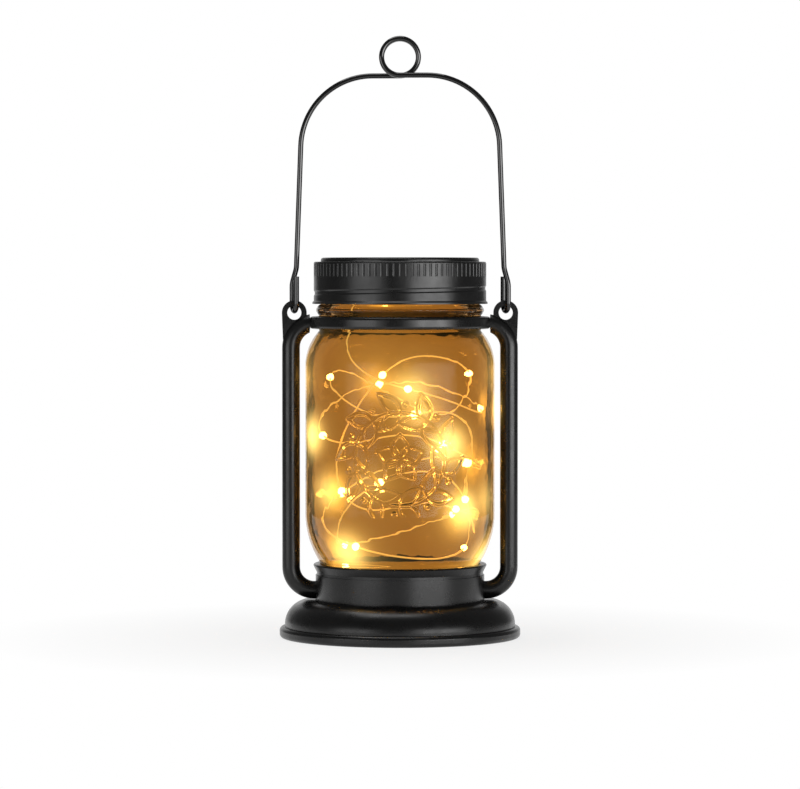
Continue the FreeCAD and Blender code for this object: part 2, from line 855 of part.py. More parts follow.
def make_screw_band():
    lip = band_radius + s.band_lip_width
    lip_half = s.band_lip_height / 2
    points = [
        (band_inner, band_bottom),
        (lip, band_bottom),
        (lip, band_bottom + lip_half),
        (band_radius, band_bottom + s.band_lip_height),
        (band_radius, band_top - s.band_top_round),
        (band_radius - s.band_top_round, band_top),
        (band_opening, band_top),
        (band_opening, band_top - s.band_top_thickness),
        (band_inner, band_top - s.band_top_thickness),
    ]
    body = turned("screw_band", points, {4: (s.band_top_round, 1)})
    crest = finish_radius + s.band_thread_gap
    middle = thread_start - s.thread_offset
    inside = ridge(band_inner + s.thread_sink, crest, middle, s.band_thread_base, s.band_thread_crest)
    thread(body, "AdditiveHelix", "thread", inside, s.band_thread_turns)
    floor = band_radius - s.groove_depth
    mouth = band_radius + s.groove_depth
    outside = ridge(floor, mouth, middle, s.groove_width / 2, s.groove_width * 1.5)
    thread(body, "SubtractiveHelix", "rolled_groove", outside, s.band_thread_turns)
    notch = (0, band_radius + s.knurl_width / 2 - s.knurl_depth)
    knurl_top = band_top - s.knurl_top_margin
    cut = pocket(body, "notch", "XY_Plane", knurl_top, [(notch, s.knurl_width / 2)], s.knurl_height)
    around(body, "knurl", [cut], s.knurl_count)
    return body


def make_lid_gasket():
    inner = mouth_radius + s.gasket_inset
    outer = finish_radius - s.gasket_inset
    return turned(
        "lid_gasket",
        [(inner, rim_top), (outer, rim_top), (outer, flange_bottom), (inner, flange_bottom)],
    )


def make_module_housing():
    points = [
        (0, ceiling),
        (module_inner, ceiling),
        (module_inner, cover_bottom),
        (module_radius, cover_bottom),
        (module_radius, flange_bottom),
        (band_inner - s.flange_gap, flange_bottom),
        (band_inner - s.flange_gap, flange_top),
        (disc_radius, flange_top),
        (disc_radius, disc_top - s.disc_round),
        (disc_top_radius, disc_top),
        (0, disc_top),
    ]
    body = turned("module_housing", points, {8: (s.disc_round, 1)})
    shank = s.cover_screw_diameter / 2 + s.screw_clearance
    spot = (0, post_circle)
    post = pad(body, "post", "XY_Plane", cover_top, [(spot, s.post_radius)], ceiling - cover_top)
    hole = pocket(body, "post_hole", "XY_Plane", cover_top, [(spot, shank)], s.cover_screw_bite, True)
    around(body, "posts", [post, hole], 3)
    stud_spots = [((s.stud_spread, board_middle), s.stud_radius)]
    stud = pad(body, "stud", "XY_Plane", ceiling - s.board_drop, stud_spots, s.board_drop)
    twin = body.newObject("PartDesign::Mirrored", "board_studs")
    twin.Originals = [stud]
    twin.MirrorPlane = (origin_feature(body, "YZ_Plane"), [""])
    body.Tip = twin
    doc.recompute()
    before = body.Shape.Volume
    recess = new_sketch(body, "XY_Plane", "recess_sketch", disc_top)
    half = panel_side / 2 + s.panel_fit
    square = [(-half, -half), (half, -half), (half, half), (-half, half)]
    draw_outline(recess, square)
    cut = body.newObject("PartDesign::Pocket", "panel_recess")
    cut.Profile = recess
    cut.setExpression("Length", (s.panel_thickness + s.panel_sink).text)
    changed(body, before, False)
    return body


def make_solar_panel():
    half = panel_side / 2
    return placed(
        "Box",
        "solar_panel",
        (-half, -half, panel_floor),
        Length=panel_side,
        Width=panel_side,
        Height=s.panel_thickness,
    )


def make_module_cover():
    radius = module_inner - s.cover_fit
    points = [(0, cover_bottom), (radius, cover_bottom), (radius, cover_top), (0, cover_top)]
    body = turned("module_cover", points)
    hole = s.cover_screw_diameter / 2 + s.screw_clearance
    cut = pocket(body, "screw_hole", "XY_Plane", cover_top, [((0, post_circle), hole)], s.cover_thickness)
    around(body, "screw_holes", [cut], 3)
    place = (0, board_middle)
    wide = s.button_radius + s.button_clearance
    pocket(body, "button_hole", "XY_Plane", cover_top, [(place, wide)], s.cover_thickness)
    spot = (gland_x, gland_y)
    pocket(body, "gland_hole", "XY_Plane", cover_top, [(spot, s.gland_radius)], s.cover_thickness)
    return body


def make_battery():
    """One rechargeable cell lying across the module, its nub to the right."""
    height = cover_top + s.cell_diameter / 2
    start = -(s.cell_length + s.cell_nub_length) / 2
    can_place = (start, -s.cell_setback, height)
    can = placed("Cylinder", "cell_can", can_place, Radius=s.cell_diameter / 2, Height=s.cell_length)
    nub_place = (start + s.cell_length, -s.cell_setback, height)
    nub = placed("Cylinder", "cell_nub", nub_place, Radius=s.cell_nub_radius, Height=s.cell_nub_length)
    for item in (can, nub):
        item.Placement.Rotation = FreeCAD.Rotation(Vector(0, 1, 0), 90)
    return fused("battery", can, nub)


def make_contact(label, side):
    """A flat contact at one end of the cell, standing on the cover."""
    reach = (s.cell_length + s.cell_nub_length) / 2
    start = reach if side > 0 else -reach - s.contact_thickness
    return placed(
        "Box",
        label,
        (start, -s.cell_setback - s.contact_side / 2, cover_top),
        Length=s.contact_thickness,
        Width=s.contact_side,
        Height=s.contact_side,
    )


def make_circuit_board():
    corner = (-s.board_length / 2, s.board_setback, board_bottom)
    return placed(
        "Box", "circuit_board", corner, Length=s.board_length, Width=s.board_width, Height=s.board_thickness
    )


def make_switch_body():
    """Push switch under the board. Its plunger stops a little short of the cap at full travel."""
    half = s.switch_side / 2
    case = placed(
        "Box",
        "switch_case",
        (-half, board_middle - half, switch_bottom),
        Length=s.switch_side,
        Width=s.switch_side,
        Height=s.switch_height,
    )
    nub_bottom = button_top + s.button_travel + s.button_play
    plunger = placed(
        "Cylinder",
        "switch_plunger",
        (0, board_middle, nub_bottom),
        Radius=s.switch_nub_radius,
        Height=switch_bottom - nub_bottom,
    )
    return fused("switch_body", case, plunger)


def make_power_button():
    low = cover_bottom - s.button_proud
    tall = button_top - low
    cap = placed("Cylinder", "button_cap", (0, board_middle, low), Radius=s.button_radius, Height=tall)
    rim = placed(
        "Cylinder",
        "button_rim",
        (0, board_middle, cover_top + s.button_play),
        Radius=s.button_radius + s.button_collar,
        Height=s.button_collar_height,
    )
    return fused("power_button", cap, rim)


def make_wire_grommet():
    bore = s.wire_diameter / 2 + s.wire_fit
    rim = s.gland_radius + s.gland_flange
    low = cover_bottom - s.gland_flange_height
    points = [
        (bore, low - s.gland_snout_height),
        (s.gland_snout_radius, low - s.gland_snout_height),
        (s.gland_radius, low),
        (rim, low),
        (rim, cover_bottom),
        (s.gland_radius, cover_bottom),
        (s.gland_radius, cover_top + s.gland_inside),
        (bore, cover_top + s.gland_inside),
    ]
    body = turned("wire_grommet", points)
    body.setExpression("Placement.Base.x", gland_x.text)
    body.setExpression("Placement.Base.y", gland_y.text)
    return body


def route_points():
    """The light string's route in the object's frame."""
    points = []
    for angle, distance, height in WIRE_ROUTE:
        turn = math.radians(angle)
        points.append(Vector(distance * math.sin(turn), -distance * math.cos(turn), height))
    return points


def make_light_string():
    points = route_points()
    runs = [b - a for a, b in zip(points, points[1:])]
    radii = []
    for come, leave in zip(runs, runs[1:]):
        shorter = min(come.Length, leave.Length)
        radii.append(ARC_SHARE * shorter / math.tan(come.getAngle(leave) / 2))
    edges, samples = rounded_path(points, radii)
    diameter = s.wire_diameter.value
    tube, length = swept(edges, diameter)
    print("light string radii", [round(radius, 1) for radius in radii])
    print("light string length", round(length, 1), "least gap", round(least_gap(samples, diameter, 12), 2))
    wire = solid_of("fairy_wire", tube)
    beads = []
    for i in range(FIRST_LED_RUN, len(runs), LED_EVERY):
        beads.append(led_bead((points[i] + points[i + 1]) / 2, runs[i]))
    lights = solid_of("led_beads", Part.makeCompound(beads))
    print("lights", len(beads))
    return wire, lights


def led_bead(centre, way):
    """A drop of clear resin round the wire, fuller in the middle than at its ends."""
    half = s.led_length.value / 2
    waist = half * s.led_waist.value
    bore = s.wire_diameter.value / 2 + s.wire_fit.value
    tip = bore + s.led_tip.value
    full = s.led_diameter.value / 2
    profile = [
        Vector(bore, 0, -half),
        Vector(tip, 0, -half),
        Vector(full, 0, -waist),
        Vector(full, 0, waist),
        Vector(tip, 0, half),
        Vector(bore, 0, half),
    ]
    outline = Part.makePolygon([*profile, profile[0]])
    bead = Part.Face(outline).revolve(Vector(), UP, 360)
    bead.Placement = FreeCAD.Placement(centre, FreeCAD.Rotation(UP, way))
    return bead


def make_bail_handle():
    """One wire: an eye in each lug, two legs, and a ring of two turns over the top run."""
    diameter = s.bail_diameter.value
    axis = bail_axis.value
    top = axis + s.bail_rise.value
    slope = s.ring_pitch.value / (2 * math.pi * s.ring_radius.value)
    side = s.ring_pitch.value + s.ring_run.value * slope
    eye_radius = side / math.cos(math.radians(s.eye_turn.value))
    spread = eye_radius * math.sin(math.radians(s.eye_turn.value))
    outer = -lug_centre.value - spread
    inner = -lug_centre.value + spread
    leg = -lug_centre.value + s.leg_inset.value
    low = axis - eye_radius
    shoulder = leg + s.leg_lean.value
    corner_radius = s.corner_share.value * (-s.ring_run.value - shoulder)
    left = [
        Vector(inner, -side, axis + s.eye_length.value),
        Vector(inner, -side, low),
        Vector(outer, side, low),
        Vector(outer, side, axis + s.eye_rise.value),
        Vector(leg, side, axis + s.leg_start.value),
        Vector(shoulder, side, top),
        Vector(-s.ring_run.value, side, top),
        Vector(0, s.ring_pitch.value, top),
    ]
    bends = [
        eye_radius,
        eye_radius,
        s.eye_bend.value,
        s.eye_bend.value,
        corner_radius,
        s.run_bend.value,
    ]
    edges, samples = rounded_path(left, bends)
    right = [Vector(-point.x, -point.y, point.z) for point in reversed(left)]

    def ring_point(turn):
        angle = turn * 2 * math.pi
        radius = s.ring_radius.value
        depth = s.ring_pitch.value * (1 - turn)
        return Vector(radius * math.sin(angle), depth, top + radius - radius * math.cos(angle))

    def ring_way(turn):
        angle = turn * 2 * math.pi
        return Vector(math.cos(angle), -slope, math.sin(angle)).normalize()

    quarters = 8
    for quarter in range(quarters):
        here, there = quarter / 4, (quarter + 1) / 4
        arcs, mids = biarc(ring_point(here), ring_way(here), ring_point(there), ring_way(there))
        edges += arcs
        samples += mids
    back, back_samples = rounded_path(right, bends[::-1])
    edges += back
    samples += back_samples[1:]
    tube, length = swept(edges, diameter)
    apart = 1.5 * math.pi * eye_radius
    print("bail wire length", round(length, 1), "least gap", round(least_gap(samples, diameter, apart), 2))
    return solid_of("bail_handle", tube)


def make_screws():
    holder = screw_set(
        "holder_screws",
        s.holder_screw_circle,
        (90, 210, 330),
        foot_ceiling - s.holder_head_height,
        (s.holder_head_diameter / 2, s.holder_head_height),
        s.holder_screw_diameter / 2,
        s.foot_wall + s.holder_screw_bite,
    )
    cover = screw_set(
        "cover_screws",
        post_circle,
        (90, 210, 330),
        cover_bottom - s.cover_head_height,
        (s.cover_head_diameter / 2, s.cover_head_height),
        s.cover_screw_diameter / 2,
        s.cover_thickness + s.cover_screw_bite,
    )
    return holder, cover


right_bar = make_side_bar()
nodes = [
    make_base_foot(),
    make_jar_holder(),
    right_bar,
    make_left_bar(right_bar),
    make_neck_collar(),
    make_glass_jar(),
    make_screw_band(),
    make_lid_gasket(),
    make_module_housing(),
    make_solar_panel(),
    make_module_cover(),
    make_battery(),
    make_contact("battery_plus_contact", 1),
    make_contact("battery_minus_contact", -1),
    make_circuit_board(),
    make_switch_body(),
    make_power_button(),
    make_wire_grommet(),
    make_bail_handle(),
    *make_light_string(),
    *make_screws(),
]
doc.recompute()

for item in doc.Objects:
    if "Invalid" in item.State or "Error" in item.State:
        raise RuntimeError(f"{item.Label} failed: {item.State}")
for node in nodes:
    if node.Shape.isNull() or not node.Shape.isValid() or not node.Shape.Solids:
        raise RuntimeError(f"{node.Label} has no valid solid")

os.makedirs("parts", exist_ok=True)
for node in nodes:
    node.Shape.exportStep(f"parts/{node.Label}.step")
    print(node.Label, "solids", len(node.Shape.Solids), "volume", round(node.Shape.Volume, 1))
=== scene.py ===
# %% [markdown]
# # A solar jar lantern
# The lantern is an amber glass jar in a black frame, with a screw lid that holds a solar module and a string
# of small warm lights inside. The solid model gives every hard piece its place and size. This lesson loads
# it as a fixed frame, gives each piece its finish, and makes new the pieces that a solid model shows too
# plainly: the glass with its raised leaf wreath, the thin wire and its lights.

# %% Load the frame
import math

import bmesh
import bpy
import numpy as np
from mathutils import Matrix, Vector


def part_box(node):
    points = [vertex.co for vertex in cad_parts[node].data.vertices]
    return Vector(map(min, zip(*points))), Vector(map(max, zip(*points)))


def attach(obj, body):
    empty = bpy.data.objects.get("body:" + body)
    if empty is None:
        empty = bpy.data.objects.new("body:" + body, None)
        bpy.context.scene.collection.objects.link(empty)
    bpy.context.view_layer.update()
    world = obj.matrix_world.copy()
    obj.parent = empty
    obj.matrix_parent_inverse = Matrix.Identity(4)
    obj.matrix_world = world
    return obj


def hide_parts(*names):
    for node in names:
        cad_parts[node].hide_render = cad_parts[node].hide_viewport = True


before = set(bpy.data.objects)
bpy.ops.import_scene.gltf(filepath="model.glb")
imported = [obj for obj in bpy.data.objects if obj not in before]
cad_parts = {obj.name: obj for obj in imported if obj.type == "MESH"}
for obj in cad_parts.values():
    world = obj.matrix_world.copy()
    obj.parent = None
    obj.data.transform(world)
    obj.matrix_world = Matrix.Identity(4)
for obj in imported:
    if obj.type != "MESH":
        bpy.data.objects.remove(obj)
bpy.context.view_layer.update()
scene = bpy.context.scene
MM = 0.001

# %% [markdown]
# ## Camera
# The photograph was taken from far away with a long lens, level with the jar and a little above its middle,
# so upright edges stay upright. The distance sets how much of the foot's top can be seen, and the focal
# length then follows from the size of the lantern in the frame.

# %% Camera
FRAME_WIDTH_PX = 800
PX_PER_MM = 2.40
CAMERA_DISTANCE = 1.6
CAMERA_HEIGHT = 0.150
AIM_HEIGHT = 0.1012

camera_data = bpy.data.cameras.new("photo_camera")
camera = bpy.data.objects.new("photo_camera", camera_data)
scene.collection.objects.link(camera)
camera.location = (0, -CAMERA_DISTANCE, CAMERA_HEIGHT)
aim = Vector((0, 0, AIM_HEIGHT)) - camera.location
camera.rotation_euler = aim.to_track_quat("-Z", "Y").to_euler()
focal_px = PX_PER_MM * aim.length / MM
camera_data.lens = focal_px * camera_data.sensor_width / FRAME_WIDTH_PX
scene.camera = camera
print("lens", round(camera_data.lens, 1), "mm")

# %% [markdown]
# ## Small helpers for materials
# A procedural material is a chain of nodes. Writing the chain by hand for every finish would hide the few
# numbers that matter, so small helpers start a material, lay a pattern over it and let it change the colour,
# the gloss or the surface.


# %% Nodes and patterns
def add_node(tree, kind, **inputs):
    """A new node of a kind, with plain values on its inputs."""
    node = tree.nodes.new(kind)
    for name, value in inputs.items():
        node.inputs[name.replace("_", " ")].default_value = value
    return node


def noise(tree, place, scale, detail=3.0):
    """A cloudy pattern with so many lumps to the metre."""
    node = add_node(tree, "ShaderNodeTexNoise", Scale=scale, Detail=detail)
    tree.links.new(place, node.inputs["Vector"])
    return node.outputs["Fac"]


def between(tree, value, low, high, start=0.3, stop=0.7):
    """Stretches a pattern from start..stop to low..high."""
    node = add_node(tree, "ShaderNodeMapRange", From_Min=start, From_Max=stop, To_Min=low, To_Max=high)
    tree.links.new(value, node.inputs["Value"])
    return node.outputs["Result"]


print("materials that came with the solids", len(bpy.data.materials))


# %% Start and shape a finish
def new_finish(name, color, roughness, metallic=0.0):
    """A material with its tree, its Principled shader and its object coordinates."""
    material = bpy.data.materials.new(name)
    material.use_nodes = True
    tree = material.node_tree
    shader = tree.nodes["Principled BSDF"]
    shader.inputs["Base Color"].default_value = (*color, 1)
    shader.inputs["Roughness"].default_value = roughness
    shader.inputs["Metallic"].default_value = metallic
    place = tree.nodes.new("ShaderNodeTexCoord").outputs["Object"]
    return material, tree, shader, place


def two_tone(tree, value, dark, light, shader, start=0.35, stop=0.65):
    """Colours the surface between two tones by a pattern."""
    ramp = tree.nodes.new("ShaderNodeValToRGB")
    for element, position, color in zip(ramp.color_ramp.elements, (start, stop), (dark, light)):
        element.position = position
        element.color = (*color, 1)
    tree.links.new(value, ramp.inputs["Fac"])
    tree.links.new(ramp.outputs["Color"], shader.inputs["Base Color"])


def bumped(tree, height, shader, depth, strength=1.0):
    """Lets a pattern stand out of the surface by a depth in metres."""
    node = add_node(tree, "ShaderNodeBump", Distance=depth, Strength=strength)
    tree.links.new(height, node.inputs["Height"])
    tree.links.new(node.outputs["Normal"], shader.inputs["Normal"])


print("one unit of object coordinates is", scene.unit_settings.scale_length, "m")

# %% [markdown]
# ## Finishes of the hard pieces
# The frame is black moulded plastic with a fine spark-eroded grain: never one flat black, but slightly
# uneven in tone and gloss. The band is painted sheet metal, smoother, and the bail is enamelled wire with
# a clear shine. A picture texture would need a map on every piece, so noise in the piece's own coordinates
# is used instead. It needs no map and has no seams.

# %% A grained finish
CLOUDS_PER_METRE = 45
SHEEN_PER_METRE = 160
GRAIN_DETAIL = 2.0


def grey(level):
    """A colour with equal red, green and blue."""
    return (level, level, level)


def grained(name, dark, light, roughness, grain, depth, metallic=0.0, gloss=0.4):
    """A finish with cloudy colour, uneven gloss and a fine grain of so many lumps to the metre."""
    material, tree, shader, place = new_finish(name, light, roughness[0], metallic)
    shader.inputs["Specular IOR Level"].default_value = gloss
    two_tone(tree, noise(tree, place, CLOUDS_PER_METRE), dark, light, shader)
    sheen = between(tree, noise(tree, place, SHEEN_PER_METRE), *roughness)
    tree.links.new(sheen, shader.inputs["Roughness"])
    bumped(tree, noise(tree, place, grain, GRAIN_DETAIL), shader, depth)
    return material


print("lumps to the metre: colour", CLOUDS_PER_METRE, "gloss", SHEEN_PER_METRE)

# %% Black finishes
satin_plastic = grained(
    "satin_black_plastic", grey(0.0025), (0.0045, 0.0043, 0.0042),
    roughness=(0.24, 0.34), grain=2600, depth=0.012 * MM,
)
band_paint = grained(
    "black_band_paint", grey(0.003), (0.005, 0.0048, 0.0046),
    roughness=(0.26, 0.36), grain=1500, depth=0.010 * MM,
)
wire_enamel = grained(
    "black_wire_enamel", grey(0.002), grey(0.004),
    roughness=(0.06, 0.12), grain=400, depth=0.002 * MM, gloss=0.6,
)
module_plastic = grained(
    "module_black_plastic", grey(0.003), grey(0.005),
    roughness=(0.26, 0.38), grain=2000, depth=0.012 * MM,
)
seal_rubber = grained(
    "black_seal_rubber", grey(0.010), grey(0.020),
    roughness=(0.62, 0.80), grain=1800, depth=0.040 * MM,
)
switch_plastic = grained(
    "switch_plastic", grey(0.02), grey(0.04),
    roughness=(0.35, 0.50), grain=1500, depth=0.020 * MM,
)
black_finishes = (satin_plastic, band_paint, wire_enamel, module_plastic, seal_rubber, switch_plastic)
print("black finishes", [finish.name for finish in black_finishes])

# %% [markdown]
# The pieces inside the lid are hardly seen, but each is a thing of its own: a grey button, zinc-plated screws
# and contacts, a cell in a green sleeve and a green circuit board. The same grained finish serves them all,
# with other colours, and full metal for the plating.

# %% Finishes inside the lid
button_plastic = grained(
    "grey_button_plastic", grey(0.20), (0.28, 0.28, 0.27),
    roughness=(0.40, 0.55), grain=2200, depth=0.030 * MM,
)
screw_plating = grained(
    "zinc_screw_plating", (0.45, 0.45, 0.44), (0.62, 0.62, 0.60),
    roughness=(0.25, 0.40), grain=1500, depth=0.020 * MM, metallic=1.0,
)
cell_sleeve = grained(
    "green_cell_sleeve", (0.05, 0.20, 0.08), (0.08, 0.28, 0.12),
    roughness=(0.25, 0.35), grain=900, depth=0.020 * MM,
)
board_mask = grained(
    "green_board_mask", (0.01, 0.12, 0.04), (0.02, 0.18, 0.06),
    roughness=(0.25, 0.40), grain=700, depth=0.030 * MM,
)
lid_finishes = (button_plastic, screw_plating, cell_sleeve, board_mask)
print("finishes inside the lid", [finish.name for finish in lid_finishes])

# %% [markdown]
# ## Solar cell
# Under its clear cover the cell is dark blue crystal with fine silver fingers. A wider bar crosses them in
# the middle, and half a bar lies at two edges. They could be thin strips of mesh, but real ones are printed
# and have no height. So they are drawn in the material, by folding the coordinate into steps.

# %% Lines on the cell
FINGER_SPACING = 1.8 * MM
FINGER_WIDTH = 0.16 * MM
BAR_SPACING = 21.0 * MM
BAR_WIDTH = 1.2 * MM


def computed(tree, operation, first, second):
    """The result of one math operation on two values, each a plain number or another node's output."""
    node = tree.nodes.new("ShaderNodeMath")
    node.operation = operation
    for value, socket in zip((first, second), node.inputs):
        if isinstance(value, (int, float)):
            socket.default_value = value
        else:
            tree.links.new(value, socket)
    return node.outputs[0]


def line_mask(tree, place, axis, spacing, width):
    """White on evenly spaced lines across one axis, black between them."""
    split = tree.nodes.new("ShaderNodeSeparateXYZ")
    tree.links.new(place, split.inputs["Vector"])
    fold = computed(tree, "PINGPONG", split.outputs[axis], spacing / 2)
    return computed(tree, "LESS_THAN", fold, width / 2)


print("solar cell: fingers every", FINGER_SPACING / MM, "mm, bars every", BAR_SPACING / MM, "mm")

# %% Solar cell finish
CRYSTAL_TONES = [(0.006, 0.010, 0.030, 1), (0.014, 0.028, 0.085, 1)]
CRYSTALS_PER_METRE = 220
SILVER = (0.42, 0.43, 0.44, 1)

solar_crystal, tree, shader, place = new_finish("solar_crystal", (0.01, 0.02, 0.06), 0.12)
shader.inputs["Coat Weight"].default_value = 0.6
fingers = line_mask(tree, place, "Y", FINGER_SPACING, FINGER_WIDTH)
bars = line_mask(tree, place, "X", BAR_SPACING, BAR_WIDTH)
crystal = tree.nodes.new("ShaderNodeValToRGB")
for element, tone in zip(crystal.color_ramp.elements, CRYSTAL_TONES):
    element.color = tone
tree.links.new(noise(tree, place, CRYSTALS_PER_METRE, 1.0), crystal.inputs["Fac"])
printed = tree.nodes.new("ShaderNodeMix")
printed.data_type = "RGBA"
tree.links.new(computed(tree, "MAXIMUM", fingers, bars), printed.inputs["Factor"])
tree.links.new(crystal.outputs["Color"], printed.inputs["A"])
printed.inputs["B"].default_value = SILVER
tree.links.new(printed.outputs["Result"], shader.inputs["Base Color"])
print("solar cell nodes", len(tree.nodes))

# %% [markdown]
# ## Dress the solid pieces
# A solid whose shape is right stays as it is and takes its finish. One list says which finish each piece
# has, so nothing is left bare.

# %% Dress the solid pieces
FINISH_OF_NODE = {
    "base_foot": satin_plastic,
    "jar_holder": satin_plastic,
    "right_side_bar": satin_plastic,
    "left_side_bar": satin_plastic,
    "neck_collar": satin_plastic,
    "holder_screws": screw_plating,
    "bail_handle": wire_enamel,
    "screw_band": band_paint,
    "lid_gasket": seal_rubber,
    "module_housing": module_plastic,
    "solar_panel": solar_crystal,
    "module_cover": module_plastic,
    "cover_screws": screw_plating,
    "battery": cell_sleeve,
    "battery_plus_contact": screw_plating,
    "battery_minus_contact": screw_plating,
    "circuit_board": board_mask,
    "switch_body": switch_plastic,
    "power_button": button_plastic,
    "wire_grommet": seal_rubber,
}
for node_name, finish in FINISH_OF_NODE.items():
    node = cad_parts[node_name]
    node.data.materials.clear()
    node.data.materials.append(finish)
print("finished solids", len(FINISH_OF_NODE))

# %% [markdown]
# ## The light string
# The string is one thin copper wire that comes down from the lid and winds loosely round the inside of the
# jar, near the glass, where it was pushed in by hand. A smooth spline with a few control points bends the
# way a wire does, and its bevel gives the round section. The points are given as an angle from the front, a
# distance from the jar's axis and a height, because that is how one would describe the way round a jar.

# %% The wire
WIRE_DIAMETER = 0.7 * MM
WIRE_ROUTE = [
    (276, 20, 142), (276, 20, 132),
    (292, 25, 119), (338, 31, 108), (28, 36, 101), (75, 37, 92), (118, 36, 99), (168, 35, 107),
    (222, 36, 102), (268, 37, 89), (318, 37, 80), (8, 35, 88), (52, 36, 76), (98, 37, 68),
    (150, 37, 76), (205, 37, 66), (255, 36, 52), (302, 34, 43), (350, 31, 36), (45, 30, 34),
    (95, 31, 42), (120, 31, 62), (85, 32, 84), (40, 32, 97), (345, 33, 91), (300, 34, 104),
    (245, 31, 114), (190, 32, 101), (140, 32, 88), (100, 32, 105), (62, 28, 116), (5, 24, 119),
    (325, 28, 101), (290, 31, 71), (330, 34, 52), (20, 35, 60), (65, 36, 50), (110, 36, 55),
    (165, 35, 44), (215, 32, 36), (265, 29, 38), (318, 30, 60), (12, 30, 73), (60, 31, 65),
    (80, 31, 44),
]


def route_point(angle, distance, height):
    """A point of the route in metres, from degrees and millimetres."""
    turn = math.radians(angle)
    return Vector((distance * math.sin(turn), -distance * math.cos(turn), height)) * MM


def mesh_of(obj):
    """The finished shape of an object as a plain mesh."""
    graph = bpy.context.evaluated_depsgraph_get()
    return bpy.data.meshes.new_from_object(obj.evaluated_get(graph))


route = [route_point(*step) for step in WIRE_ROUTE]
wire_curve = bpy.data.curves.new("light_wire", "CURVE")
wire_curve.dimensions = "3D"
spline = wire_curve.splines.new("NURBS")
spline.points.add(len(route) - 1)
for point, spot in zip(spline.points, route):
    point.co = (*spot, 1)
spline.order_u = 3
spline.use_endpoint_u = True
wire_curve.resolution_u = 12
wire = bpy.data.objects.new("light_wire", wire_curve)
scene.collection.objects.link(wire)
wire_line = [vertex.co.copy() for vertex in mesh_of(wire).vertices]
wire_curve.bevel_depth = WIRE_DIAMETER / 2
wire_curve.bevel_resolution = 3
wire_curve.use_fill_caps = True
print("points on the wire", len(wire_line), "start", [round(x, 4) for x in wire_line[0]])

# %% [markdown]
# ## The lights
# Each light is a tiny chip in a drop of clear resin round the wire, fuller in the middle and drawn out along
# the wire at both ends. A sphere would be too blunt where the drop runs out on the wire, so the drop is
# turned from an outline, as on a lathe. The jar will be turned the same way, with a radius of its own for
# every column.

# %% A lathe
MERGE_DISTANCE = 0.001 * MM
SLIVER = 0.0001 * MM


def turned_mesh(name, rings, turns):
    """A smooth closed mesh of rings round the vertical axis, each with a height and one radius or many."""
    points = []
    for radius, height in rings:
        points += list(zip(radius * np.sin(turns), -radius * np.cos(turns), np.full_like(turns, height)))
    sides = len(turns)
    faces = []
    for low in range(0, (len(rings) - 1) * sides, sides):
        for k in range(sides):
            n = (k + 1) % sides
            faces.append((low + k, low + n, low + sides + n, low + sides + k))
    mesh = bpy.data.meshes.new(name)
    mesh.from_pydata(points, [], faces)
    work = bmesh.new()
    work.from_mesh(mesh)
    bmesh.ops.remove_doubles(work, verts=work.verts, dist=MERGE_DISTANCE)
    bmesh.ops.dissolve_degenerate(work, edges=work.edges, dist=SLIVER)
    bmesh.ops.recalc_face_normals(work, faces=work.faces)
    work.to_mesh(mesh)
    work.free()
    mesh.shade_smooth()
    return mesh


print("the lathe merges points within", MERGE_DISTANCE / MM, "mm")

# %% One drop of resin
LED_DIAMETER = 3.0 * MM
LED_LENGTH = 3.2 * MM
LED_SIDES = 20
LED_RINGS = 11
LED_SWELL_POWER = 0.75


def drop_outline():
    """Radius and height from the drop's lower tip to its upper tip."""
    points = []
    for k in range(LED_RINGS):
        share = k / (LED_RINGS - 1)
        swell = math.sin(math.pi * share) ** LED_SWELL_POWER
        radius = WIRE_DIAMETER / 2 + (LED_DIAMETER - WIRE_DIAMETER) / 2 * swell
        points.append((radius, (share - 0.5) * LED_LENGTH))
    return [(0, -LED_LENGTH / 2), *points, (0, LED_LENGTH / 2)]


drop_turns = np.linspace(0, 2 * math.pi, LED_SIDES, endpoint=False)
drop_mesh = turned_mesh("resin_drop", drop_outline(), drop_turns)
drop = bpy.data.objects.new("resin_drop", drop_mesh)
scene.collection.objects.link(drop)
print("faces of one drop", len(drop_mesh.polygons))

# %% [markdown]
# The lights sit on the wire at nearly even steps. Places typed by hand would leave the wire when its route
# is changed, so each is picked from the wire's own points, halfway between two points of the route. The
# wire's direction there is stored with it, because the drop has to lie along the wire.

# %% Places of the lights along the wire
FIRST_LED_RUN = 3
LED_EVERY = 2
LAST_LED_SHARE = 0.6


def wire_share(run):
    """Where on the wire the middle of a run between two route points lies, from 0 to 1."""
    spans = len(route) - 2
    return min(run, spans - 1 + LAST_LED_SHARE) / spans


led_places = []
led_ways = []
for run in range(FIRST_LED_RUN, len(route) - 1, LED_EVERY):
    here = round(wire_share(run) * (len(wire_line) - 1))
    led_places.append(wire_line[here])
    led_ways.append((wire_line[here + 1] - wire_line[here - 1]).normalized())
led_points_mesh = bpy.data.meshes.new("light_places")
led_points_mesh.from_pydata(led_places, [], [])
way_attribute = led_points_mesh.attributes.new("way", "FLOAT_VECTOR", "POINT")
way_attribute.data.foreach_set("vector", [x for way in led_ways for x in way])
led_points = bpy.data.objects.new("light_places", led_points_mesh)
scene.collection.objects.link(led_points)
print("lights", len(led_places))

# %% [markdown]
# All drops are the same, so Geometry Nodes sets one drop on every place. A tree reads the places, turns a
# copy along each stored direction and ends in one mesh. A loop over copies would do too, but in a tree the
# drop can be changed once for all.


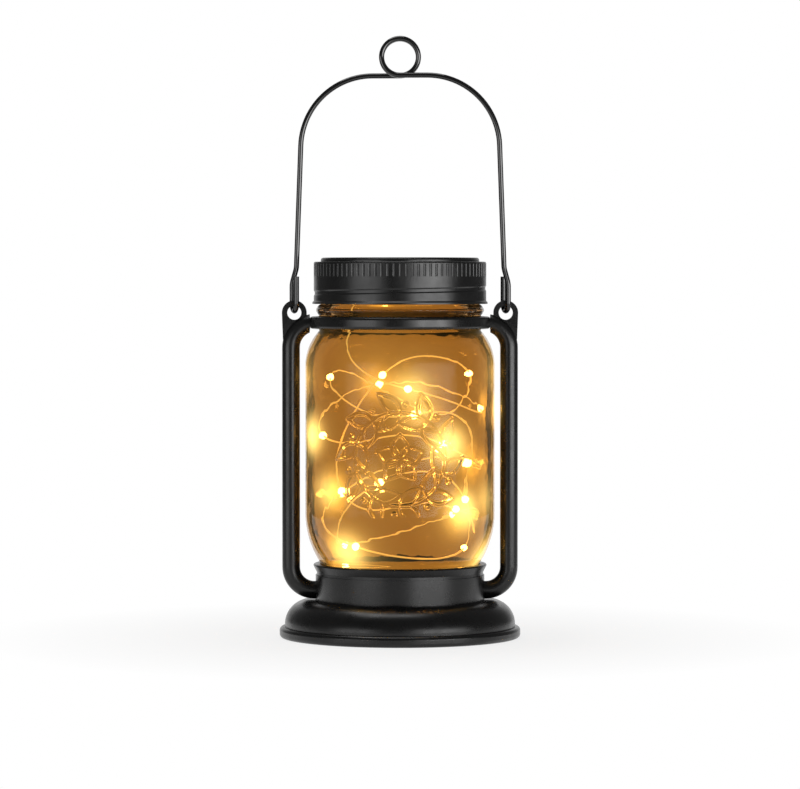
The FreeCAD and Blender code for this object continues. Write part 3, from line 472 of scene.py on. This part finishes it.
# %% Helpers for Geometry Nodes
def new_tree(name, **inputs):
    """An empty geometry tree with a Geometry input and output and more named inputs."""
    tree = bpy.data.node_groups.new(name, "GeometryNodeTree")
    tree.interface.new_socket("Geometry", in_out="INPUT", socket_type="NodeSocketGeometry")
    for label, kind in inputs.items():
        tree.interface.new_socket(label, in_out="INPUT", socket_type=kind)
    tree.interface.new_socket("Geometry", in_out="OUTPUT", socket_type="NodeSocketGeometry")
    return tree, tree.nodes.new("NodeGroupInput"), tree.nodes.new("NodeGroupOutput")


def end_tree(tree, geometry, material, group_out):
    """Ends a geometry tree in one real mesh with its material."""
    realized = tree.nodes.new("GeometryNodeRealizeInstances")
    painted = tree.nodes.new("GeometryNodeSetMaterial")
    tree.links.new(geometry, realized.inputs["Geometry"])
    tree.links.new(realized.outputs["Geometry"], painted.inputs["Geometry"])
    tree.links.new(material, painted.inputs["Material"])
    tree.links.new(painted.outputs["Geometry"], group_out.inputs["Geometry"])


def socket_id(tree, name):
    """The identifier that a modifier uses for one of the tree's inputs."""
    for item in tree.interface.items_tree:
        if item.in_out == "INPUT" and item.name == name:
            return item.identifier
    raise KeyError(name)


def made_mesh(name, base, tree, values):
    """Runs a geometry tree on an object and returns the result as a new plain object."""
    modifier = base.modifiers.new(tree.name, "NODES")
    modifier.node_group = tree
    for label, value in values.items():
        modifier[socket_id(tree, label)] = value
    mesh = mesh_of(base)
    base.modifiers.remove(modifier)
    mesh.name = name
    result = bpy.data.objects.new(name, mesh)
    scene.collection.objects.link(result)
    return result


print("geometry trees so far", len(bpy.data.node_groups))

# %% Lit resin
RESIN_CLOUDS_PER_METRE = 900

led_resin, tree, shader, place = new_finish("lit_resin", (1.0, 0.82, 0.5), 0.25)
resin_clouds = noise(tree, place, RESIN_CLOUDS_PER_METRE)
two_tone(tree, resin_clouds, (1.0, 0.74, 0.36), (1.0, 0.86, 0.55), shader)
shader.inputs["Emission Color"].default_value = (1.0, 0.74, 0.34, 1)
shader.inputs["Emission Strength"].default_value = 24.0
print("resin shines at", shader.inputs["Emission Strength"].default_value)

# %% Set the drops on the wire
tree, group_in, group_out = new_tree("beads_on_wire", Drop="NodeSocketObject", Resin="NodeSocketMaterial")
drop_info = tree.nodes.new("GeometryNodeObjectInfo")
tree.links.new(group_in.outputs["Drop"], drop_info.inputs["Object"])
stored_way = tree.nodes.new("GeometryNodeInputNamedAttribute")
stored_way.data_type = "FLOAT_VECTOR"
stored_way.inputs["Name"].default_value = "way"
along_wire = tree.nodes.new("FunctionNodeAlignRotationToVector")
along_wire.axis = "Z"
tree.links.new(stored_way.outputs["Attribute"], along_wire.inputs["Vector"])
to_points = tree.nodes.new("GeometryNodeMeshToPoints")
tree.links.new(group_in.outputs["Geometry"], to_points.inputs["Mesh"])
copies = tree.nodes.new("GeometryNodeInstanceOnPoints")
tree.links.new(to_points.outputs["Points"], copies.inputs["Points"])
tree.links.new(drop_info.outputs["Geometry"], copies.inputs["Instance"])
tree.links.new(along_wire.outputs["Rotation"], copies.inputs["Rotation"])
end_tree(tree, copies.outputs["Instances"], group_in.outputs["Resin"], group_out)
lights = made_mesh("wire_lights", led_points, tree, {"Drop": drop, "Resin": led_resin})
print("faces of all lights", len(lights.data.polygons))

# %% [markdown]
# The wire is bare copper, and close to its lights it shines too. A weak glow of its own stands for the light
# that it throws back, because so thin a wire would catch too few rays to look lit.

# %% Finish of the wire
COPPER_CLOUDS_PER_METRE = 400

copper, tree, shader, place = new_finish("lit_copper", (0.9, 0.5, 0.24), 0.3, metallic=1.0)
copper_clouds = noise(tree, place, COPPER_CLOUDS_PER_METRE)
two_tone(tree, copper_clouds, (0.80, 0.40, 0.17), (0.95, 0.58, 0.30), shader)
shader.inputs["Emission Color"].default_value = (1.0, 0.88, 0.48, 1)
shader.inputs["Emission Strength"].default_value = 1.25
wire_curve.materials.append(copper)
for piece, node_name, slot_name in ((wire, "fairy_wire", "copper_wire"), (lights, "led_beads", "led_resin")):
    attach(piece, "solar_module")
    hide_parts(node_name)

# %% [markdown]
# ## The glass jar
# The jar is pressed glass with thick walls: a rounded heel, straight sides, a round shoulder, a bead under
# the lid and a screw thread. The lathe gives both walls in one closed skin, so light bends in it as in real
# glass. The raised wreath on the front and the thread are small steps of the outer wall, so the lathe's
# points are simply moved outwards there.

# %% Sizes of the jar
JAR_LOW, JAR_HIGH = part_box("glass_jar")
JAR_RADIUS = JAR_HIGH[0]
SEAT = JAR_LOW[2]
RIM = JAR_HIGH[2]
WALL = 3.0 * MM
INSIDE_FLOOR = SEAT + 5.5 * MM
PUNT = 1.4 * MM
PUNT_EDGE = 3.0 * MM
PUNT_SLOPE = 1.4 * MM
HEEL_EDGE = 5.0 * MM
HEEL_STEP = 3.7 * MM
HEEL_ARC = 38.0 * MM
HEEL_TOP = SEAT + 29.3 * MM
BODY_TOP = HEEL_TOP + 61.2 * MM
SHOULDER_ARC = 21.5 * MM
NECK_RADIUS = 33.75 * MM
BEAD_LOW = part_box("neck_collar")[1][2] + 0.5 * MM
BEAD_HIGH = BEAD_LOW + 4.2 * MM
BEAD_BULGE = 1.25 * MM
FINISH_RADIUS = 33.0 * MM
MOUTH_RADIUS = 30.25 * MM
MOUTH_EDGE = 2.0 * MM
RIM_ROUND = 0.9 * MM
print("jar radius", round(JAR_RADIUS / MM, 2), "mm, height", round((RIM - SEAT) / MM, 2), "mm")

# %% [markdown]
# The outline is drawn once, up the outer wall and down the inner one. Heel and shoulder are arcs, and the
# inner wall follows them at the wall's thickness. A spline could follow the wall too, but arcs keep the
# measured radii. The rows lie close together only where the relief and the bead need them.

# %% Curves of the wall
CORNER_STEPS = 8


def steps(start, stop, size):
    """Evenly spaced values from start to stop, about a size apart."""
    count = max(1, round(abs(stop - start) / size))
    return [start + (stop - start) * k / count for k in range(count + 1)]


def heel_radius(height, inset):
    """Radius of the heel's arc at a height, so far inside the outer wall."""
    return JAR_RADIUS - HEEL_ARC + math.sqrt((HEEL_ARC - inset) ** 2 - (HEEL_TOP - height) ** 2)


def shoulder_radius(height, inset):
    """Radius of the shoulder's arc at a height, so far inside the outer wall."""
    return JAR_RADIUS - SHOULDER_ARC + math.sqrt((SHOULDER_ARC - inset) ** 2 - (height - BODY_TOP) ** 2)


def shoulder_end(radius, inset):
    """Height at which the shoulder's arc has come in to a radius."""
    side = radius - (JAR_RADIUS - SHOULDER_ARC)
    return BODY_TOP + math.sqrt((SHOULDER_ARC - inset) ** 2 - side**2)


def heel_corner(radius, low, high):
    """A rounded corner from the flat bottom to the heel's side."""
    points = []
    for k in range(CORNER_STEPS + 1):
        turn = math.pi / 2 * k / CORNER_STEPS
        points.append((radius - HEEL_STEP * (1 - math.sin(turn)), high - (high - low) * math.cos(turn)))
    return points


print("shoulder meets the neck at", round(shoulder_end(NECK_RADIUS, 0) / MM, 1), "mm")

# %% Outline of the outer wall
PLAIN_ROW = 1.5 * MM
BODY_ROW = 0.36 * MM
SHOULDER_ROW = 0.8 * MM
FINISH_ROW = 0.4 * MM


def outer_outline():
    """Radius and height along the outer wall from the bottom up."""
    edge = heel_radius(SEAT + HEEL_EDGE, 0)
    foot = edge - HEEL_STEP - PUNT_EDGE
    dish = SEAT + PUNT
    points = [(0, dish), ((edge - HEEL_STEP) / 2, dish), (foot - PUNT_SLOPE, dish), (foot, SEAT)]
    points += heel_corner(edge, SEAT, SEAT + HEEL_EDGE)
    points += [(heel_radius(z, 0), z) for z in steps(SEAT + HEEL_EDGE, HEEL_TOP, PLAIN_ROW)[1:]]
    points += [(JAR_RADIUS, z) for z in steps(HEEL_TOP, BODY_TOP, BODY_ROW)[1:]]
    neck_low = shoulder_end(NECK_RADIUS, 0)
    points += [(shoulder_radius(z, 0), z) for z in steps(BODY_TOP, neck_low, SHOULDER_ROW)[1:]]
    points += [(NECK_RADIUS, z) for z in steps(neck_low, BEAD_LOW, PLAIN_ROW)[1:]]
    for z in steps(BEAD_LOW, BEAD_HIGH, FINISH_ROW)[1:]:
        bulge = 1 - ((z - BEAD_LOW) / (BEAD_HIGH - BEAD_LOW) * 2 - 1) ** 2
        points.append((NECK_RADIUS + BEAD_BULGE * bulge, z))
    points += [(FINISH_RADIUS, z) for z in steps(BEAD_HIGH + FINISH_ROW, RIM - RIM_ROUND, FINISH_ROW)]
    return points


outer_wall = outer_outline()
print("rings of the outer wall", len(outer_wall))

# %% Outline of the rim and the inner wall
INSIDE_ROW = 2.5 * MM


def inner_outline():
    """Radius and height over the rim and down the inner wall to the middle of the floor."""
    points = [(FINISH_RADIUS - RIM_ROUND, RIM), (MOUTH_RADIUS + RIM_ROUND, RIM)]
    points.append((MOUTH_RADIUS, RIM - RIM_ROUND))
    shoulder_low = shoulder_end(MOUTH_RADIUS, WALL)
    points += [(MOUTH_RADIUS, z) for z in steps(RIM - MOUTH_EDGE, shoulder_low, INSIDE_ROW)]
    points += [(shoulder_radius(z, WALL), z) for z in steps(shoulder_low, BODY_TOP, SHOULDER_ROW)[1:]]
    points += [(JAR_RADIUS - WALL, z) for z in steps(BODY_TOP, HEEL_TOP, INSIDE_ROW)[1:]]
    corner_top = INSIDE_FLOOR + HEEL_EDGE
    points += [(heel_radius(z, WALL), z) for z in steps(HEEL_TOP, corner_top, PLAIN_ROW)[1:]]
    corner = heel_corner(heel_radius(corner_top, WALL), INSIDE_FLOOR, corner_top)
    points += corner[::-1][1:]
    return points + [(corner[0][0] / 2, INSIDE_FLOOR), (0, INSIDE_FLOOR)]


inner_wall = inner_outline()
print("rings of the rim and the inner wall", len(inner_wall))

# %% [markdown]
# The wreath is a ring of pointed leaves on a round stem with a few berries, and one flower in its middle. On
# pressed glass such a picture is drawn with rounded ridges, which catch the light on both flanks. A bump in
# the material would leave the outline and the refraction flat, so each ridge is a small height field on the
# unrolled front of the jar and moves real points.

# %% One raised leaf
EMBOSS = 1.0 * MM
RIDGE_HALF = 0.7 * MM
# Below 1, the leaf is widest nearer its stem.
LEAF_TAPER = 0.8


def ridge(distance, half=RIDGE_HALF):
    """Height of a rounded ridge by the distance from its middle line."""
    return EMBOSS * np.sqrt(np.clip(1 - (distance / half) ** 2, 0, 1))


def leaf_height(u, v, start, angle, length, width):
    """The outline of a pointed leaf from a start point along an angle."""
    along = (u - start[0]) * math.cos(angle) + (v - start[1]) * math.sin(angle)
    across = (v - start[1]) * math.cos(angle) - (u - start[0]) * math.sin(angle)
    half = width / 2 * np.sin(math.pi * np.clip(along / length, 0, 1) ** LEAF_TAPER)
    beyond = np.maximum(-along, along - length).clip(0)
    return ridge(np.hypot(np.abs(across) - half, beyond))


print("ridges", 2 * RIDGE_HALF / MM, "mm wide and", EMBOSS / MM, "mm high")

# %% The leaf wreath as a height field
WREATH_HEIGHT = 76.0 * MM
WREATH_RADIUS = 19.0 * MM
WREATH_LEAVES = 10
LEAF_LENGTH = 11.5 * MM
LEAF_WIDTH = 5.4 * MM
LEAF_TILT = math.radians(40)
BERRY_RADIUS = 1.3 * MM
BERRY_STALK = 3.6 * MM
BERRY_TURN = 0.1
PETALS = 5
PETAL_LENGTH = 10.0 * MM
PETAL_WIDTH = 7.0 * MM


def wreath_height(u, v):
    """Height of the raised wreath at points of the unrolled front."""
    height = ridge(np.abs(np.hypot(u, v) - WREATH_RADIUS))
    for k in range(WREATH_LEAVES):
        spot = 2 * math.pi * (k + 0.5) / WREATH_LEAVES
        start = (WREATH_RADIUS * math.cos(spot), WREATH_RADIUS * math.sin(spot))
        for side in (1, -1):
            angle = spot + math.pi / 2 - side * LEAF_TILT
            height = np.maximum(height, leaf_height(u, v, start, angle, LEAF_LENGTH, LEAF_WIDTH))
        reach = WREATH_RADIUS + BERRY_STALK
        berry_angle = spot - BERRY_TURN
        berry = np.hypot(u - reach * math.cos(berry_angle), v - reach * math.sin(berry_angle))
        height = np.maximum(height, ridge(berry, BERRY_RADIUS))
    for k in range(PETALS):
        angle = math.pi / 2 + 2 * math.pi * k / PETALS
        height = np.maximum(height, leaf_height(u, v, (0, 0), angle, PETAL_LENGTH, PETAL_WIDTH))
    return height


print("wreath: leaf pairs", WREATH_LEAVES, "petals", PETALS)

# %% [markdown]
# The screw thread is a ridge that climbs round the finish, the part of the jar inside the lid. A swept
# profile would be a second mesh that cuts into the wall, so the thread is a height field as well. The front
# of the jar gets narrow columns for the wreath, and the plain back gets wide ones.

# %% Columns and thread
FRONT_HALF = math.radians(43)
FRONT_COLUMNS = 184
BACK_COLUMNS = 72
THREAD_START = BEAD_HIGH + 4.6 * MM
THREAD_LEAD = 4.2 * MM
THREAD_TURNS = 1.5
THREAD_HEIGHT = 1.2 * MM
THREAD_HALF = 1.0 * MM

front = np.linspace(-FRONT_HALF, FRONT_HALF, FRONT_COLUMNS, endpoint=False)
back = np.linspace(FRONT_HALF, 2 * math.pi - FRONT_HALF, BACK_COLUMNS, endpoint=False)
jar_turns = np.concatenate([front, back])


def thread_height(height):
    """Height of the screw ridge round the finish, which rises by one lead in a turn."""
    raised = np.zeros_like(jar_turns)
    begin = (jar_turns - math.pi / 2) % (2 * math.pi)
    for lap in range(math.ceil(THREAD_TURNS)):
        passed = begin / (2 * math.pi) + lap
        middle = THREAD_START + THREAD_LEAD * passed
        form = np.clip((THREAD_HALF - np.abs(height - middle)) / (THREAD_HALF / 2), 0, 1)
        raised = np.maximum(raised, np.where(passed <= THREAD_TURNS, form, 0))
    return raised * THREAD_HEIGHT


print("columns", len(jar_turns), "thread turns", THREAD_TURNS)

# %% Turn the jar
unrolled = np.where(jar_turns < math.pi, jar_turns, jar_turns - 2 * math.pi) * JAR_RADIUS


def raised_radius(radius, height):
    """Radii of one ring of the outer wall with the thread and the wreath on it."""
    relief = thread_height(height)
    if HEEL_TOP < height < BODY_TOP:
        wreath = wreath_height(unrolled, height - WREATH_HEIGHT)
        relief = relief + np.where(np.abs(jar_turns) <= FRONT_HALF, wreath, 0)
    return radius + relief


jar_rings = [(raised_radius(radius, height), height) for radius, height in outer_wall] + inner_wall
jar_mesh = turned_mesh("amber_jar_skin", jar_rings, jar_turns)
jar_skin_object = bpy.data.objects.new("amber_jar_skin", jar_mesh)
scene.collection.objects.link(jar_skin_object)
print("jar triangles about", 2 * len(jar_mesh.polygons))

# %% [markdown]
# ## Amber glass
# The jar is clear glass with a warm tint, wavy from the mould. Its edges are browner than its middle, because
# the light's way through the wall is longer there, so a part of the tint is absorption inside the wall.
# Around each light the glass also has a painted glow: the glass itself emits a warm light that stands for the
# light's stray light. The glass reads it from a value that is stored on the jar in the next step, and draws a
# faint wide part and a bright near part.

# %% Finish of the glass
WALL_BROWN = (0.38, 0.10, 0.40, 1)
WALL_DENSITY = 60.0
# Strengths of the painted glow that the glass emits near the lights.
WIDE_GLOW = 0.08
NEAR_GLOW = 2.1
NEAR_POWER = 7.0
WAVES_PER_METRE = 85
WAVE_DEPTH = 0.6 * MM
WAVE_STRENGTH = 0.5

amber_glass, tree, shader, place = new_finish("amber_glass", (0.63, 0.405, 0.13), 0.0)
shader.inputs["Transmission Weight"].default_value = 1.0
shader.inputs["Specular Tint"].default_value = (0.18, 0.18, 0.18, 1)
shader.inputs["IOR"].default_value = 1.45
brown = add_node(tree, "ShaderNodeVolumeAbsorption", Color=WALL_BROWN, Density=WALL_DENSITY)
tree.links.new(brown.outputs["Volume"], tree.nodes["Material Output"].inputs["Volume"])
# Painted glow: the glass emits warm light where a light is near, standing for the lights' stray light.
glow = tree.nodes.new("ShaderNodeAttribute")
glow.attribute_name = "glow"
wide = computed(tree, "MULTIPLY", glow.outputs["Fac"], WIDE_GLOW)
near = computed(tree, "MULTIPLY", computed(tree, "POWER", glow.outputs["Fac"], NEAR_POWER), NEAR_GLOW)
tree.links.new(computed(tree, "ADD", wide, near), shader.inputs["Emission Strength"])
shader.inputs["Emission Color"].default_value = (1.0, 0.77, 0.25, 1)
bumped(tree, noise(tree, place, WAVES_PER_METRE, 2.0), shader, WAVE_DEPTH, WAVE_STRENGTH)
print("amber glass with absorption", WALL_DENSITY, "to the metre")

# %% [markdown]
# A flare painted over the picture would be right from one side only. So a tree measures how near the closest
# light is to every point of the jar and stores it there. The painted glow, which the glass itself emits, then
# stays on the jar from every side, as real stray light does.

# %% Measure the nearness of the lights
# How far the painted glow on the glass reaches from each light.
GLOW_REACH = 17.0 * MM

tree, group_in, group_out = new_tree(
    "light_nearness",
    Lights="NodeSocketObject",
    Reach="NodeSocketFloat",
    Glass="NodeSocketMaterial",
)
light_info = tree.nodes.new("GeometryNodeObjectInfo")
tree.links.new(group_in.outputs["Lights"], light_info.inputs["Object"])
nearest = tree.nodes.new("GeometryNodeProximity")
nearest.target_element = "POINTS"
tree.links.new(light_info.outputs["Geometry"], nearest.inputs[0])
share = computed(tree, "DIVIDE", nearest.outputs["Distance"], group_in.outputs["Reach"])
fade = computed(tree, "POWER", math.exp(-1), computed(tree, "MULTIPLY", share, share))
# The stored value drives the painted glow that the glass emits.
keep = tree.nodes.new("GeometryNodeStoreNamedAttribute")
keep.domain = "POINT"
keep.inputs["Name"].default_value = "glow"
tree.links.new(group_in.outputs["Geometry"], keep.inputs["Geometry"])
tree.links.new(fade, keep.inputs["Value"])
end_tree(tree, keep.outputs["Geometry"], group_in.outputs["Glass"], group_out)
jar_values = {"Lights": led_points, "Reach": GLOW_REACH, "Glass": amber_glass}
jar = made_mesh("amber_jar", jar_skin_object, tree, jar_values)
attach(jar, "lantern_frame")
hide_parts("glass_jar")
for helper in (drop, led_points, jar_skin_object):
    bpy.data.objects.remove(helper)
print("jar attributes", [item.name for item in jar.data.attributes if item.name == "glow"])

# %% [markdown]
# ## Studio
# A black object on white is shaped by what it mirrors. Two soft panels in front, left and right of the lens,
# draw a broad streak on each side of every round form. The right one is wider and brighter, and the room is
# dim, so the black between the streaks stays deep. The lens and the glass see a pure white sweep all round.
# The floor stays a real surface near the foot, so it keeps the soft shadow, and melts into white further out.

# %% Floor
FLOOR_HALF = 0.6
FLOOR_TONE = 0.95
SHADOW_REACH = 0.18
SHADOW_CORE = 0.07
CORE_MELT = 0.80


def any_ray(tree, *kinds):
    """1 for rays of any of these kinds, 0 for all others."""
    path = tree.nodes.new("ShaderNodeLightPath")
    result = path.outputs[kinds[0]]
    for kind in kinds[1:]:
        result = computed(tree, "MAXIMUM", result, path.outputs[kind])
    return result


floor_mesh = bpy.data.meshes.new("studio_floor")
corners = [(-1, -1), (1, -1), (1, 1), (-1, 1)]
floor_mesh.from_pydata([(x * FLOOR_HALF, y * FLOOR_HALF, 0) for x, y in corners], [], [(0, 1, 2, 3)])
studio_floor = bpy.data.objects.new("studio_floor", floor_mesh)
scene.collection.objects.link(studio_floor)
floor_white, tree, shader, place = new_finish("studio_white", grey(FLOOR_TONE), 0.9)
distance = tree.nodes.new("ShaderNodeVectorMath")
distance.operation = "LENGTH"
tree.links.new(place, distance.inputs[0])
melt = between(tree, distance.outputs["Value"], CORE_MELT, 1.0, SHADOW_CORE, SHADOW_REACH)
seen_rays = any_ray(tree, "Is Camera Ray", "Is Glossy Ray", "Is Transmission Ray")
white = add_node(tree, "ShaderNodeEmission", Color=(1, 1, 1, 1), Strength=1.0)
chosen = tree.nodes.new("ShaderNodeMixShader")
tree.links.new(computed(tree, "MULTIPLY", melt, seen_rays), chosen.inputs["Fac"])
tree.links.new(shader.outputs["BSDF"], chosen.inputs[1])
tree.links.new(white.outputs["Emission"], chosen.inputs[2])
tree.links.new(chosen.outputs["Shader"], tree.nodes["Material Output"].inputs["Surface"])
floor_mesh.materials.append(floor_white)
print("floor", 2 * FLOOR_HALF, "m wide, shadow kept within", SHADOW_REACH, "m")

# %% [markdown]
# The panels are part of the sky. Lamps of that size would show as hard white shapes on the glass, and a sky
# can fade them softly at all edges. Each has an angle from the front, the angles at which it starts and ends
# to fade, and a strength. They stay low, so the lid's top does not mirror them.

# %% Soft panels in the sky
ROOM = 0.14
SOFT_PANELS = [(-46, 12, 26, 3.4), (42, 16, 32, 7.5)]
PANEL_TOP = (0.06, 0.22)

world = bpy.data.worlds.new("studio_sky")
scene.world = world
world.use_nodes = True
tree = world.node_tree
way = tree.nodes.new("ShaderNodeTexCoord").outputs["Generated"]
split = tree.nodes.new("ShaderNodeSeparateXYZ")
tree.links.new(way, split.inputs["Vector"])


def panel_glow(tree, azimuth, core, edge, strength):
    """A soft panel at an angle from the front, bright up to its core angle and gone beyond its edge angle."""
    turn = math.radians(azimuth)
    facing = tree.nodes.new("ShaderNodeVectorMath")
    facing.operation = "DOT_PRODUCT"
    facing.inputs[1].default_value = (math.sin(turn), -math.cos(turn), 0)
    tree.links.new(way, facing.inputs[0])
    edges = math.cos(math.radians(edge)), math.cos(math.radians(core))
    return between(tree, facing.outputs["Value"], 0.0, strength, *edges)


left_glow, right_glow = [panel_glow(tree, *panel) for panel in SOFT_PANELS]
upper_edge = between(tree, split.outputs["Z"], 1.0, 0.0, *PANEL_TOP)
panels = computed(tree, "MULTIPLY", computed(tree, "ADD", left_glow, right_glow), upper_edge)
room = tree.nodes["Background"]
room.inputs["Color"].default_value = (1, 1, 1, 1)
tree.links.new(computed(tree, "ADD", panels, ROOM), room.inputs["Strength"])
print("soft panels", len(SOFT_PANELS))

# %% [markdown]
# The white sweep stands all round for the lens and the glass, and only behind the lantern for gloss. Seen
# through the glass it darkens upwards and downwards, which draws the edges of the jar and of its relief.

# %% Sweep
SWEEP_END = 0.25
SWEEP_FADE = (0.12, 0.40)
BEHIND = (0.80, 0.97)

steepness = computed(tree, "ABSOLUTE", split.outputs["Z"], 0)
through_glass = between(tree, steepness, 1.0, SWEEP_END, *SWEEP_FADE)
plain_white = computed(tree, "MAXIMUM", any_ray(tree, "Is Camera Ray", "Is Glossy Ray"), through_glass)
sweep = add_node(tree, "ShaderNodeBackground", Color=(1, 1, 1, 1))
tree.links.new(plain_white, sweep.inputs["Strength"])
behind = between(tree, split.outputs["Y"], 0.0, 1.0, *BEHIND)
in_gloss = computed(tree, "MULTIPLY", any_ray(tree, "Is Glossy Ray"), behind)
seen = computed(tree, "MAXIMUM", any_ray(tree, "Is Camera Ray", "Is Transmission Ray"), in_gloss)
chosen = tree.nodes.new("ShaderNodeMixShader")
tree.links.new(seen, chosen.inputs["Fac"])
tree.links.new(room.outputs["Background"], chosen.inputs[1])
tree.links.new(sweep.outputs["Background"], chosen.inputs[2])
tree.links.new(chosen.outputs["Shader"], tree.nodes["World Output"].inputs["Surface"])
print("sky nodes", len(tree.nodes))

# %% [markdown]
# One large lamp above gives the soft shadow under the foot and the line of light on the lid's edge.

# %% Lamp above
LAMP_SIZE = 1.2
LAMP_POWER = 16
LAMP_PLACE = (-0.2, 0.2, 1.9)

lamp_data = bpy.data.lights.new("top_panel", "AREA")
lamp_data.size = LAMP_SIZE
lamp_data.energy = LAMP_POWER
top_panel = bpy.data.objects.new("top_panel", lamp_data)
top_panel.location = LAMP_PLACE
scene.collection.objects.link(top_panel)
scene.view_settings.view_transform = "Standard"
